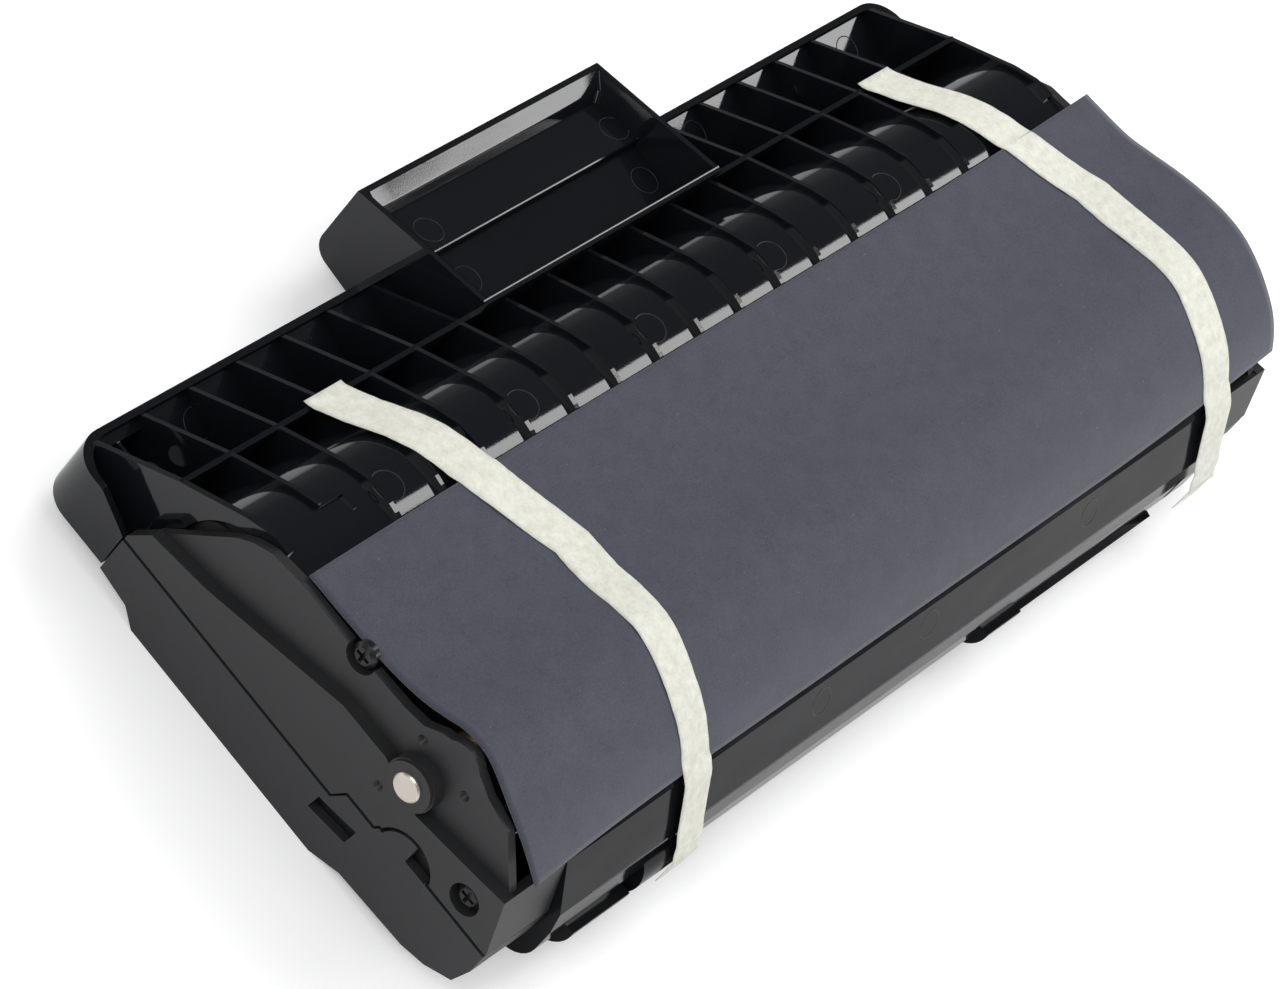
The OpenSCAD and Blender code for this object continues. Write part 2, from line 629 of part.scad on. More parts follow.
// Charge roller in two sprung holders
charge_half = half_len - 36;
holder_w = 7;
holder_foot = charge_c.y - 7;
module charge_core() color("#a9abae") rod(-charge_half - holder_w - 3, charge_half + holder_w + 3,
    charge_c, charge_shaft_d);
module charge_rubber() color("#202124") ring(-charge_half, charge_half, charge_c, charge_d, charge_shaft_d);
module charge_holder() {
    x0 = charge_half + 1.5;
    difference() {
        union() {
            along(x0, x0 + holder_w) box2([charge_c.x - 4.4, holder_foot], [charge_c.x + 4.4, charge_c.y]);
            rod(x0, x0 + holder_w, charge_c, 8.8);
        }
        rod(x0 - 1, x0 + holder_w + 1, charge_c, charge_shaft_d + 2 * run_gap);
    }
}
module charge_holder_right() color("#e0ddd2") charge_holder();
module charge_holder_left() color("#e0ddd2") mirror([1, 0, 0]) charge_holder();
module charge_springs() color("#9a9ca0") {
    foot = 6.3;
    wire = 0.6;
    for (s = [-1, 1])
        translate([s * (charge_half + 1.5 + holder_w / 2), rim_y - charge_c.x, foot + wire / 2])
            coil(2.2, holder_foot - foot - wire, 5, wire);
}
// A coil spring swept as one solid
module coil(r, h, turns, wire) {
    sides = 6;
    per_turn = 14;
    steps = turns * per_turn;
    points = [for (i = [0:steps]) let (a = i * 360 / per_turn) for (k = [0:sides - 1])
        let (b = k * 360 / sides, rho = r + wire / 2 * cos(b)) [rho * cos(a), rho * sin(a),
            h * i / steps + wire / 2 * sin(b)]];
    faces = concat([[for (k = [0:sides - 1]) k]], [[for (k = [sides - 1:-1:0]) steps * sides + k]],
        [for (i = [0:steps - 1]) for (k = [0:sides - 1]) let (n = (k + 1) % sides)
            [i * sides + k, (i + 1) * sides + k, (i + 1) * sides + n, i * sides + n]]);
    polyhedron(points, faces);
}

// Bushes in the bearing walls
module bush(right, at, d) {
    x0 = right ? wall_right_x - bearing_t : -wall_left_x;
    x1 = x0 + bearing_t;
    difference() {
        union() {
            rod(right ? x0 - 0.5 : x0, right ? x1 : x1 + 0.5, at, d + 2 * bush_wall);
            if (right) rod(x0 - 1, x0, at, d + 2 * bush_wall + 1.6);
            else rod(x1, x1 + 1, at, d + 2 * bush_wall + 1.6);
        }
        rod(x0 - 2, x1 + 2, at, d + 2 * run_gap);
    }
}
module developer_bush_left() color("#ece8da") bush(false, developer_c, developer_shaft_d);
module developer_bush_right() color("#ece8da") bush(true, developer_c, developer_shaft_d);
module supply_bush_left() color("#ece8da") bush(false, supply_c, supply_shaft_d);
module supply_bush_right() color("#ece8da") bush(true, supply_c, supply_shaft_d);
module agitator_bush_left() color("#ece8da") bush(false, agitator_c, agitator_shaft_d);
module agitator_bush_right() color("#ece8da") bush(true, agitator_c, agitator_shaft_d);
module fill_plug() color("#2f3033") {
    rod(-wall_left_x - 0.1, -wall_left_x + bearing_t, fill_c, fill_d - 0.2);
    rod(-wall_left_x - 1, -wall_left_x, fill_c, fill_d + 2);
}

// Metering blade above the developer roller
blade_z = developer_c.y + developer_r + nip_gap + 0.2;
bracket_screw = [blade_half + 5, cover_front + 1.2, cover_top - 5.6];
module doctor_bracket() color("#b4b6b8") {
    difference() {
        along(-blade_half - 9, blade_half + 9) polygon([[cover_front + 0.05, blade_z + 3],
            [bracket_screw.y, blade_z + 3], [bracket_screw.y, cover_top - 2.4], [cover_front + 0.05,
                cover_top - 2.4]]);
        for (s = [-1, 1]) translate([s * bracket_screw.x, rim_y - cover_front - 3, bracket_screw.z])
            rotate([-90, 0, 0]) cylinder(d = screw_d + 0.2, h = 5);
    }
}
module doctor_blade() color("#cfd1d2") {
    along(-blade_half, blade_half) polygon([[cover_front + 1.25, blade_z + 8], [cover_front + 1.6,
        blade_z + 8],
        [cover_front + 1.6, blade_z], [cover_front + 1.25, blade_z]]);
}
// Cleaning blade that scrapes the drum into the bin, and the film above it
scrape = drum_c + (drum_r + nip_gap) * unit(-11);
module cleaning_bracket() color("#b4b6b8") {
    along(-blade_half - 6, blade_half + 6) box2([122.5, 19], [123.7, 33]);
}
module cleaning_blade() color("#c9a36a") {
    along(-blade_half, blade_half) polygon([[122.4, 25.4], [122.4, 31.2], scrape + [0.5, 0.3], scrape,
        [120.8, 25.4]]);
}
module recovery_film() color("#4a4d52") {
    along(-blade_half, blade_half) polygon([[120.7, 45.6], [120.7, 44.5],
        drum_c + (drum_r + 0.5) * unit(22),
        drum_c + (drum_r + 0.5) * unit(22) + [0.3, 0.4], [120.3, 45.6]]);
}

// Leaf that earths the drum, between the flange and the bearing boss
module drum_contact() color("#c8a24e") {
    x1 = drum_left_x - 4 - 0.3;
    ring(x1 - 0.5, x1, drum_c, 14, shaft_d + 2 * run_gap);
    along(x1 - 0.5, x1) box2(drum_c + [-2, -19], drum_c + [2, -6]);
}

// Pan head screws, one solid each
module screw(shank) {
    difference() {
        union() {
            cylinder(d = screw_head_d, h = 1.4);
            translate([0, 0, 1.4 - eps]) cylinder(d1 = screw_head_d, d2 = screw_head_d - 2, h = 0.8);
            if (shank > 0) translate([0, 0, -shank]) cylinder(d = screw_d, h = shank + eps);
        }
        for (a = [0, 90]) rotate(a) translate([-1.8, -0.45, 1]) cube([3.6, 0.9, 2]);
    }
}
module cap_screws() color("#6f7175") {
    for (s = [0, 1]) mirror([s, 0, 0]) {
        translate([-frame_x, rim_y - cap_screw_run, s == 0 ? screw_z_left : screw_z_right]) rotate([0,
            -90, 0]) screw(0);
        translate([-plate_b_x, rim_y - 127.4, 28.9]) rotate([0, -90, 0]) screw(plate_t);
    }
}
module blade_screws() color("#6f7175") {
    for (s = [-1, 1]) {
        translate([s * bracket_screw.x, rim_y - bracket_screw.y, bracket_screw.z]) rotate([90, 0, 0])
            screw(0.9);
    }
}

// Packing paper and the two strips of tape that hold it
paper_path = concat([[56.5, 47.7], [66, 48.1], [80, 48.8], [86, 49.2], [90.3, 50.2], [95.2, 52.6], [99,
    54.6]],
    arc([106.4, 49.6], 6.8, 132, 42, 5), [[116.4, 51.2], [123.6, 49.2], [132.4, 40.2]]);
module paper_cover() color("#4a4c58") {
    along(paper_left, paper_right) polygon(band(paper_path, paper_lift, paper_lift + paper_t));
}
tape_rear = concat([[long_rib_run - 1, long_rib_top + 0.3], [38, agitator_c.y + 20.6]],
    arc(agitator_c, rib_crest_r + 0.2, 101, 76, 3));
tape_front = [[136, 37.2], [141.6, 26.4], [144.7, 22.4], [145.5, 19.5], [145.6, 12]];
tape_path = concat(tape_rear, raised(paper_path, paper_lift + paper_t + 0.15), tape_front);
// Each tape's edges in plan, as [x, run] pairs from the rear to the front
module tape(edge_a, edge_b) {
    outline = [for (p = concat(edge_a, reversed(edge_b))) [p.x * stretch, rim_y - p.y]];
    intersection() {
        along(-half_len, half_len) polygon(band(tape_path, 0, tape_t));
        translate([0, 0, -1]) linear_extrude(80) polygon(outline);
    }
}
module tape_left() color("#dcd6bd")
    tape([[-103, 20], [-94, 59], [-87, 80], [-89.5, 107], [-90, 150]],
        [[-103 + tape_w, 20], [-94 + tape_w, 59], [-76, 80], [-79.5, 107], [-80.5, 150]]);
module tape_right() color("#dcd6bd")
    tape([[104, 20], [111, 44], [121, 76], [120.5, 100], [120, 150]],
        [[104 + tape_w, 20], [111 + tape_w, 44], [133, 76], [132, 100], [131, 150]]);

lower_shell();
ribbed_frame();
end_cap_left();
end_cap_right();
waste_bin();
drum_shaft();
drum_tube();
drum_flange();
drum_gear();
developer_shaft();
developer_sleeve();
developer_gear();
supply_shaft();
supply_foam();
supply_gear();
idler_gear();
agitator_shaft();
agitator_film();
agitator_gear();
charge_core();
charge_rubber();
charge_holder_left();
charge_holder_right();
charge_springs();
developer_bush_left();
developer_bush_right();
supply_bush_left();
supply_bush_right();
agitator_bush_left();
agitator_bush_right();
fill_plug();
doctor_bracket();
doctor_blade();
cleaning_bracket();
cleaning_blade();
recovery_film();
drum_contact();
cap_screws();
blade_screws();
paper_cover();
tape_left();
tape_right();
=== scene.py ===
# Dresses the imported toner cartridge: mouldings, metal, packing paper and tape, on a white studio floor.
import json
import math

import bpy
import numpy as np
from mathutils import Matrix, Vector, noise


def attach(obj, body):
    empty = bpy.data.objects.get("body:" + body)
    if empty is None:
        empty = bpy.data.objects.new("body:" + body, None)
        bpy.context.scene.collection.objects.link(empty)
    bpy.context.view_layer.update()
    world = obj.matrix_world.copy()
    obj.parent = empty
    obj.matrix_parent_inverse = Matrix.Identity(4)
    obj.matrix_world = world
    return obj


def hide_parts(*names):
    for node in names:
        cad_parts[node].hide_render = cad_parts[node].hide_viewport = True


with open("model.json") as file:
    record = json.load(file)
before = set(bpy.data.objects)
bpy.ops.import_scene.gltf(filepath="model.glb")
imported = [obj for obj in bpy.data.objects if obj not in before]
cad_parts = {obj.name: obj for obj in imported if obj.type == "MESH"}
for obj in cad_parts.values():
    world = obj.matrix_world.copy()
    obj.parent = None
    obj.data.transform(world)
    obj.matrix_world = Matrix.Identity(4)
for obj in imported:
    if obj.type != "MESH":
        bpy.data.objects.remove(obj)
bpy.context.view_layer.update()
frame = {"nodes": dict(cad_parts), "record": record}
nodes = frame["nodes"]
rimY = 66.45  # mm from the frame's origin to the rear rim
print("frame loaded:", len(nodes), "nodes")


# a point from its place along the cartridge, its run forward of the rear rim, and its height, all in mm
def at(x, run, z):
    return Vector((x, rimY - run, z)) / 1000


# shader helpers
class Wire:
    def __init__(self, paint, socket):
        self.paint, self.socket = paint, socket

    def maths(self, operation, a, b):
        return self.paint.add("ShaderNodeMath", {"operation": operation}, {0: a, 1: b})

    def __add__(self, other):
        return self.maths("ADD", self, other)

    def __sub__(self, other):
        return self.maths("SUBTRACT", self, other)

    def __rsub__(self, other):
        return self.maths("SUBTRACT", other, self)

    def __mul__(self, other):
        return self.maths("MULTIPLY", self, other)

    __radd__, __rmul__ = __add__, __mul__


class Paint:
    def __init__(self, name, tree=None):
        if tree is None:
            self.material = bpy.data.materials.new(name)
            self.material.use_nodes = True
            tree = self.material.node_tree
            tree.nodes.clear()
        self.tree = tree

    # adds one node: its settings first, then the values or links of its sockets
    def add(self, kind, settings=None, inputs=None, output=0):
        node = self.tree.nodes.new(kind)
        for key, value in (settings or {}).items():
            if key == "stops":
                ramp = node.color_ramp
                while len(ramp.elements) < len(value):
                    ramp.elements.new(0.5)
                for element, (place, shade) in zip(ramp.elements, value):
                    element.position = place
                    element.color = (*shade, 1) if hasattr(shade, "__len__") else (shade, shade, shade, 1)
            else:
                setattr(node, key, value)
        for key, value in (inputs or {}).items():
            if isinstance(value, Wire):
                self.tree.links.new(value.socket, node.inputs[key])
            elif hasattr(value, "__len__") and len(value) == 3 and node.inputs[key].type == "RGBA":
                node.inputs[key].default_value = (*value, 1)
            else:
                node.inputs[key].default_value = value
        return Wire(self, node.outputs[output]) if len(node.outputs) else None

    def place(self, stretch=(1, 1, 1)):
        spot = self.add("ShaderNodeTexCoord", output="Object")
        if stretch == (1, 1, 1):
            return spot
        return self.add("ShaderNodeVectorMath", {"operation": "MULTIPLY"}, {0: spot, 1: stretch})

    def noise(self, scale, detail=2.0, rough=0.5, stretch=(1, 1, 1)):
        return self.add("ShaderNodeTexNoise", inputs={"Vector": self.place(stretch), "Scale": scale,
                                                      "Detail": detail, "Roughness": rough})

    def ramp(self, value, *stops):
        return self.add("ShaderNodeValToRGB", {"stops": stops}, {"Fac": value})

    def mix(self, share, a, b):
        settings = {"data_type": "RGBA", "blend_type": "MIX"}
        return self.add("ShaderNodeMix", settings, {0: share, 6: a, 7: b}, output=2)

    def bump(self, height, depth):
        return self.add("ShaderNodeBump", None, {"Height": height, "Distance": depth, "Strength": 1.0})

    def finish(self, **sockets):
        names = {"colour": "Base Color", "rough": "Roughness", "normal": "Normal", "metal": "Metallic",
                 "sheen": "Sheen Weight", "sheenRough": "Sheen Roughness", "ior": "IOR",
                 "specular": "Specular IOR Level"}
        shader = self.add("ShaderNodeBsdfPrincipled", None, {names[k]: v for k, v in sockets.items()})
        self.add("ShaderNodeOutputMaterial", None, {"Surface": shader})
        return self.material


# finishes
# glossy black moulding: slow flow waves, faint wipe marks and a little dust
def glossyPlastic(name, look):
    p = Paint(name)
    flow = p.noise(look["flow"], 2, 0.5, (0.4, 1, 1))
    fine = p.noise(2600, 2)
    wiped = p.noise(420, 3, 0.6, (0.12, 1, 1))
    dust = p.ramp(p.noise(1500, 3, 0.7), (0.70, 0.0), (0.76, 1.0))
    colour = p.mix(dust * look["dust"], p.mix(flow, look["dark"], look["light"]), look["dustColour"])
    rough = look["rough"] + wiped * look["wipe"] + dust * 0.2
    wave = p.bump(flow, look["waveDepth"])
    normal = p.add("ShaderNodeBump", None, {"Height": fine, "Distance": look["grainDepth"], "Normal": wave})
    return p.finish(colour=colour, rough=rough, normal=normal, ior=1.5,
                    specular=look["specular"])


# spark eroded satin moulding: an even fine grain
def satinPlastic(name, look):
    p = Paint(name)
    grain = p.noise(look["grain"], 3, 0.65)
    cloud = p.noise(38, 2)
    scuff = p.ramp(p.noise(240, 4, 0.7, (1, 0.3, 0.3)), (0.60, 0.0), (0.72, 1.0))
    colour = p.mix(cloud, look["dark"], look["light"])
    colour = p.mix(scuff * look["scuff"], colour, look["scuffColour"])
    rough = look["rough"] + cloud * 0.06 + grain * 0.10 - scuff * 0.05
    return p.finish(colour=colour, rough=rough, normal=p.bump(grain, look["grainDepth"]), ior=1.5)


# turned metal: rings round an axis along X through the given centre
def turnedMetal(name, look, centre):
    p = Paint(name)
    spot = p.add("ShaderNodeVectorMath", {"operation": "SUBTRACT"}, {0: p.place(), 1: centre})
    spot = p.add("ShaderNodeVectorMath", {"operation": "MULTIPLY"}, {0: spot, 1: (0.02, 1, 1)})
    radius = p.add("ShaderNodeVectorMath", {"operation": "LENGTH"}, {0: spot}, output="Value")
    rings = p.add("ShaderNodeTexNoise", {"noise_dimensions": "1D"}, {"W": radius, "Scale": 3400, "Detail": 2})
    stain = p.noise(260, 3)
    colour = p.mix(stain, look["dark"], look["light"])
    rough = look["rough"] + rings * 0.14
    return p.finish(colour=colour, rough=rough, metal=look["metal"], normal=p.bump(rings, 0.00001))


# plain metal with fine drawn lines along X
def drawnMetal(name, look):
    p = Paint(name)
    lines = p.noise(2400, 2, 0.5, (0.03, 1, 1))
    stain = p.noise(90, 3)
    colour = p.mix(stain, look["dark"], look["light"])
    rough = look["rough"] + lines * 0.2
    return p.finish(colour=colour, rough=rough, metal=1.0, normal=p.bump(lines, 0.000008))


# rubber, foam and natural acetal
def softFinish(name, look):
    p = Paint(name)
    grain = p.noise(look["grain"], 4, 0.7)
    cloud = p.noise(70, 2)
    colour = p.mix(cloud * 0.5 + grain * 0.5, look["dark"], look["light"])
    rough = look["rough"] + cloud * 0.08
    return p.finish(colour=colour, rough=rough, normal=p.bump(grain, look["grainDepth"]))


# dark uncoated paper: felted fibres, lighter bluish clouds of painted sheen and a few pale specks
def packingPaperFinish(name, look):
    p = Paint(name)
    felt = p.noise(1900, 5, 0.75)
    cloud = p.noise(160, 4, 0.6)
    longFibre = p.noise(900, 3, 0.6, (0.35, 1.2, 1))
    speck = p.ramp(p.noise(1300, 2, 0.6), (0.735, 0.0), (0.775, 1.0))
    colour = p.mix(p.ramp(felt, (0.25, 0.0), (0.75, 1.0)), look["dark"], look["light"])
    # the lighter bluish clouds mixed in here are painted sheen
    colour = p.mix(p.ramp(cloud, (0.3, 0.0), (0.7, 1.0)) * 0.30, colour, look["cloud"])
    colour = p.mix(speck * 0.55, colour, look["speck"])
    height = felt * 0.6 + longFibre * 0.4
    return p.finish(colour=colour, rough=look["rough"] + felt * 0.1, normal=p.bump(height, look["depth"]),
                    sheen=0.25, sheenRough=0.5)


# creped cream tape: blotchy tissue and fine cross ridges
def tapeFinish(name, look):
    p = Paint(name)
    blotch = p.noise(420, 5, 0.75)
    crepe = p.noise(1700, 3, 0.6, (1, 0.25, 0.25))
    broad = p.noise(60, 2)
    colour = p.mix(p.ramp(blotch, (0.32, 0.0), (0.68, 1.0)), look["dark"], look["light"])
    colour = p.mix(broad * 0.35, colour, look["warm"])
    height = crepe * 0.6 + blotch * 0.4
    return p.finish(colour=colour, rough=0.72 + blotch * 0.1, normal=p.bump(height, look["depth"]))


looks = {
    "frame": {"dark": (0.0042, 0.0048, 0.0062), "light": (0.0075, 0.0085, 0.0105), "rough": 0.05,
              "wipe": 0.05, 
              "flow": 34, "specular": 0.5, "waveDepth": 0.00025, "grainDepth": 0.000004, "dust": 0.10,
              "dustColour": (0.16, 0.16, 0.17)},
    "bin": {"dark": (0.0048, 0.0052, 0.0064), "light": (0.0085, 0.0090, 0.0105), "rough": 0.07,
            "wipe": 0.06, 
            "flow": 42, "specular": 0.12, "waveDepth": 0.0006, "grainDepth": 0.000004, "dust": 0.12,
            "dustColour": (0.16, 0.16, 0.17)},
    "cap": {"dark": (0.017, 0.0175, 0.019), "light": (0.021, 0.0215, 0.023), "rough": 0.40, "grain": 3400,
            "grainDepth": 0.00002, "scuff": 0.12, "scuffColour": (0.05, 0.05, 0.052)},
    "shell": {"dark": (0.019, 0.0195, 0.021), "light": (0.023, 0.0235, 0.026), "rough": 0.42, "grain": 3200,
              "grainDepth": 0.00002, "scuff": 0.16, "scuffColour": (0.055, 0.055, 0.06)},
    "shaft": {"dark": (0.66, 0.60, 0.52), "light": (0.80, 0.74, 0.66), "rough": 0.26, "metal": 0.85},
    # the screw head's near-black colour is painted shade of the deep hole it sits in
    "screw": {"dark": (0.022, 0.022, 0.024), "light": (0.05, 0.05, 0.052), "rough": 0.24, "metal": 0.7},
    "drum": {"dark": (0.030, 0.20, 0.22), "light": (0.040, 0.24, 0.26), "rough": 0.14, "metal": 0.3},
    "steel": {"dark": (0.46, 0.46, 0.47), "light": (0.60, 0.60, 0.61), "rough": 0.24},
    "brass": {"dark": (0.46, 0.32, 0.12), "light": (0.60, 0.44, 0.19), "rough": 0.26},
    "gear": {"dark": (0.60, 0.57, 0.49), "light": (0.70, 0.67, 0.59), "rough": 0.38, "grain": 1500,
             "grainDepth": 0.00001},
    "rubber": {"dark": (0.012, 0.012, 0.014), "light": (0.022, 0.022, 0.024), "rough": 0.62,
               "grain": 5200, "grainDepth": 0.00002},
    "foam": {"dark": (0.04, 0.04, 0.045), "light": (0.13, 0.13, 0.14), "rough": 0.88, "grain": 1400,
             "grainDepth": 0.0003},
    "amber": {"dark": (0.30, 0.16, 0.05), "light": (0.42, 0.25, 0.09), "rough": 0.40, "grain": 2500,
              "grainDepth": 0.00001},
    "film": {"dark": (0.10, 0.11, 0.12), "light": (0.16, 0.17, 0.18), "rough": 0.14, "grain": 900,
             "grainDepth": 0.00001},
    # the paper's "cloud" colour is a painted sheen, laid on in lighter bluish patches
    "paper": {"dark": (0.019, 0.021, 0.036), "light": (0.058, 0.062, 0.090), "cloud": (0.070, 0.074, 0.102),
              "speck": (0.24, 0.25, 0.28), "rough": 0.74, "depth": 0.00006},
    "tape": {"dark": (0.54, 0.54, 0.46), "light": (0.74, 0.75, 0.69), "warm": (0.71, 0.69, 0.59),
             "depth": 0.00007},
}
shaftCentre = at(0, 102.7, 38.2)
finishes = {
    "frame_plastic": glossyPlastic("frameGloss", looks["frame"]),
    "bin_plastic": glossyPlastic("binGloss", looks["bin"]),
    "cap_plastic": satinPlastic("capSatin", looks["cap"]),
    "shell_plastic": satinPlastic("shellSatin", looks["shell"]),
    "flange_plastic": satinPlastic("flangeSatin", looks["shell"]),
    "shaft_metal": turnedMetal("shaftEnd", looks["shaft"], shaftCentre),
    "drum_coating": turnedMetal("drumCoat", looks["drum"], shaftCentre),
    "screw_steel": turnedMetal("screwHead", looks["screw"], at(0, 76.4, 47.6)),
    "roller_steel": drawnMetal("rollerSteel", looks["steel"]),
    "spring_steel": drawnMetal("springWire", looks["steel"]),
    "bracket_steel": drawnMetal("bracketZinc", looks["steel"]),
    "blade_steel": drawnMetal("bladeSteel", looks["steel"]),
    "contact_brass": drawnMetal("contactBrass", looks["brass"]),
    "gear_plastic": softFinish("gearAcetal", looks["gear"]),
    "agitator_plastic": softFinish("agitatorAcetal", looks["gear"]),
    "bush_plastic": softFinish("bushAcetal", looks["gear"]),
    "developer_rubber": softFinish("developerRubber", looks["rubber"]),
    "charge_rubber": softFinish("chargeRubber", looks["rubber"]),
    "supply_foam": softFinish("supplyFoam", looks["foam"]),
    "blade_rubber": softFinish("bladeAmber", looks["amber"]),
    "clear_film": softFinish("thinFilm", looks["film"]),
    "packing_paper": packingPaperFinish("paperFelt", looks["paper"]),
    "paper_tape": tapeFinish("tapeCrepe", looks["tape"]),
}
slotOf = {s["node"]: s["material_slot"] for s in frame["record"]["subparts"]}
for name, obj in nodes.items():
    obj.data.materials.clear()
    obj.data.materials.append(finishes[slotOf[name]])
print("finishes on every node")

# moulded and turned edges are never quite sharp: they catch a fine line of light
edgeRounds = {"ribbed_frame": 0.22, "end_cap_left": 0.30, "end_cap_right": 0.30, "lower_shell": 0.30,
              "waste_bin": 0.45, "drum_shaft": 0.25, "cap_screws": 0.12}
for name, width in edgeRounds.items():
    edge = nodes[name].modifiers.new("roundedEdge", "BEVEL")
    edge.width = width / 1000
    edge.segments = 2
    edge.limit_method = "ANGLE"
    edge.angle_limit = math.radians(38)
    edge.harden_normals = True
print("edges rounded")


# mesh helpers
def meshObject(name, points, faces, slot, smooth=True):
    mesh = bpy.data.meshes.new(name)
    mesh.from_pydata([tuple(p) for p in points], [], faces)
    mesh.update()
    obj = bpy.data.objects.new(name, mesh)
    bpy.context.scene.collection.objects.link(obj)
    obj.data.materials.append(finishes[slot])
    if smooth:
        mesh.shade_smooth()
    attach(obj, "housing")
    return obj


def gridFaces(rows, columns):
    return [(r * columns + c, r * columns + c + 1, (r + 1) * columns + c + 1, (r + 1) * columns + c)
            for r in range(rows - 1) for c in range(columns - 1)]


# points evenly spaced along a smooth curve through the given ones
def smoothPath(points, count, length=None):
    pts = np.array(points, float)
    ends = np.vstack([2 * pts[0] - pts[1], pts, 2 * pts[-1] - pts[-2]])
    dense = []
    for i in range(1, len(ends) - 2):
        a, b, c, d = ends[i - 1:i + 3]
        for t in np.linspace(0, 1, 24, endpoint=False):
            square, cube = 2 * a - 5 * b + 4 * c - d, 3 * b - a - 3 * c + d
            dense.append(0.5 * (2 * b + (c - a) * t + square * t * t + cube * t ** 3))
    dense.append(pts[-1])
    dense = np.array(dense)
    if length is not None:
        step = dense[-1] - dense[-2]
        dense = np.vstack([dense, dense[-1] + step / np.linalg.norm(step) * 30])
    run = np.concatenate([[0], np.cumsum(np.linalg.norm(np.diff(dense, axis=0), axis=1))])
    wanted = np.linspace(0, length if length is not None else run[-1], count)
    return np.stack([np.interp(wanted, run, dense[:, k]) for k in range(dense.shape[1])], axis=1)


def thicken(obj, thickness, offset):
    solid = obj.modifiers.new("thickness", "SOLIDIFY")
    solid.thickness = thickness
    solid.offset = offset


# packing paper, which hangs over the drum and stands off the housing at its corners
paper = {
    "left": -144.6, "right": 152.6, "width": 83.6, "thickness": 0.00022, "rows": 150, "columns": 64,
    # [run, height] of the outer face at the left edge, at the middle and at the right edge
    "leftEdge": [(56.3, 48.7), (70, 48.9), (80, 49.5), (87, 50.4), (93, 51.9), (98, 54.0), (102, 55.8),
                 (106, 56.4), (110, 55.9), (115, 53.8), (120, 51.2), (126, 48.2), (131, 45.2),
                 (134.8, 42.6)],
    "inner": [(55.8, 48.7), (70, 49.0), (82, 49.8), (90, 51.5), (96, 53.7), (101, 55.3), (106, 55.9),
              (111, 54.9), (117, 52.2), (123, 49.0), (128, 45.3), (132.3, 40.8)],
    "rightEdge": [(54.6, 48.7), (68, 49.9), (76, 52.1), (84, 54.6), (92, 56.5), (100, 57.6),
                  (107, 57.2), (114, 55.0), (120, 52.0), (125, 48.7), (129, 44.6), (132, 40.4)],
    "wave": 0.32,
}
paperSections = [smoothPath(paper[k], paper["columns"], paper["width"])
                 for k in ("leftEdge", "inner", "rightEdge")]
tapeLines = {"left": [(-96.7, 20), (-87.7, 59), (-80.5, 80), (-84.2, 107), (-85.2, 150)],
             "right": [(110.2, 20), (117.2, 44), (127, 76), (126.2, 100), (125.5, 150)]}


def tapeMiddle(side, run):
    line = tapeLines[side]
    return float(np.interp(run, [p[1] for p in line], [p[0] for p in line]))


# section of the paper at x: run and height at each column
def paperSection(x):
    t = (x - paper["left"]) / (paper["right"] - paper["left"])
    toLeft = max(0.0, 1 - t / 0.20) ** 2
    toRight = max(0.0, (t - 0.74) / 0.26) ** 1.6
    return paperSections[0] * toLeft + paperSections[2] * toRight + paperSections[1] * (1 - toLeft - toRight)


def paperPoint(x, column):
    run, z = paperSection(x)[column]
    v = column / (paper["columns"] - 1)
    ease = math.sin(math.pi * min(1, max(0, v))) * 0.7 + 0.3 * v
    held = min(1.0, min(abs(x - tapeMiddle(s, run)) for s in tapeLines) / 30)
    lift = noise.noise(Vector((x * 0.018, run * 0.035, 3.1)))
    lift += 0.45 * noise.noise(Vector((x * 0.05, run * 0.06, 9.7)))
    z += paper["wave"] * (lift + 0.35) * ease * held
    return run, z


paperPoints = []
for row in range(paper["rows"]):
    x = paper["left"] + (paper["right"] - paper["left"]) * row / (paper["rows"] - 1)
    for column in range(paper["columns"]):
        run, z = paperPoint(x, column)
        paperPoints.append(at(x, run, z))
paperFaces = gridFaces(paper["rows"], paper["columns"])
packingPaper = meshObject("packingPaper", paperPoints, paperFaces, "packing_paper")
thicken(packingPaper, paper["thickness"], 0)
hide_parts("paper_cover")
print("packing paper")


# tapes
# height of the paper, or of the ribs behind it, under a point of the tape
def surfaceUnder(x, run):
    section = paperSection(x)
    if section[0][0] + 0.5 < run < section[-1][0]:
        return float(np.interp(run, section[:, 0], section[:, 1]))
    rear = [(20, 35.7), (22.4, 35.7), (30, 39.4), (38, 44.2), (44, 46.6), (49, 47.5), (54, 48.0), (57, 48.9)]
    front = [(130, 43.3), (136, 37.6), (141.8, 26.6), (144.4, 22.6)]
    line = rear if run < 90 else front
    return float(np.interp(run, [p[0] for p in line], [p[1] for p in line]))


tapes = {
    "tapeStripLeft": {
        "node": "tape_left", "rows": 110, "columns": 9, "clear": 0.30, "seed": 1.3,
        "edgeA": [(-103, 20.6), (-94, 59), (-87, 80), (-89.5, 107), (-90, 136), (-89.5, 150)],
        "edgeB": [(-90.5, 20.6), (-81.5, 59), (-75.5, 80), (-79.3, 107), (-80.5, 136), (-80, 150)]},
    "tapeStripRight": {
        "node": "tape_right", "rows": 110, "columns": 9, "clear": 0.30, "seed": 4.2,
        "edgeA": [(104, 20.6), (111, 44), (121, 76), (120.6, 100), (120, 136), (120, 150)],
        "edgeB": [(116.5, 20.6), (123.5, 44), (133, 76), (132, 100), (131.5, 136), (131, 150)]},
}


# the strips leave the surface at the run "lip" and end in the places given as "tail"
tapeStock = {"width": 12.5, "thickness": 0.00016, "first": 20.6, "last": 144.4, "lip": 144,
             "tail": [(145.5, 19.5), (145.6, 12)], "end": 150}


# x of one edge of a strip at a run
def edgeAt(edge, run):
    return np.interp(run, [p[1] for p in edge], [p[0] for p in edge])


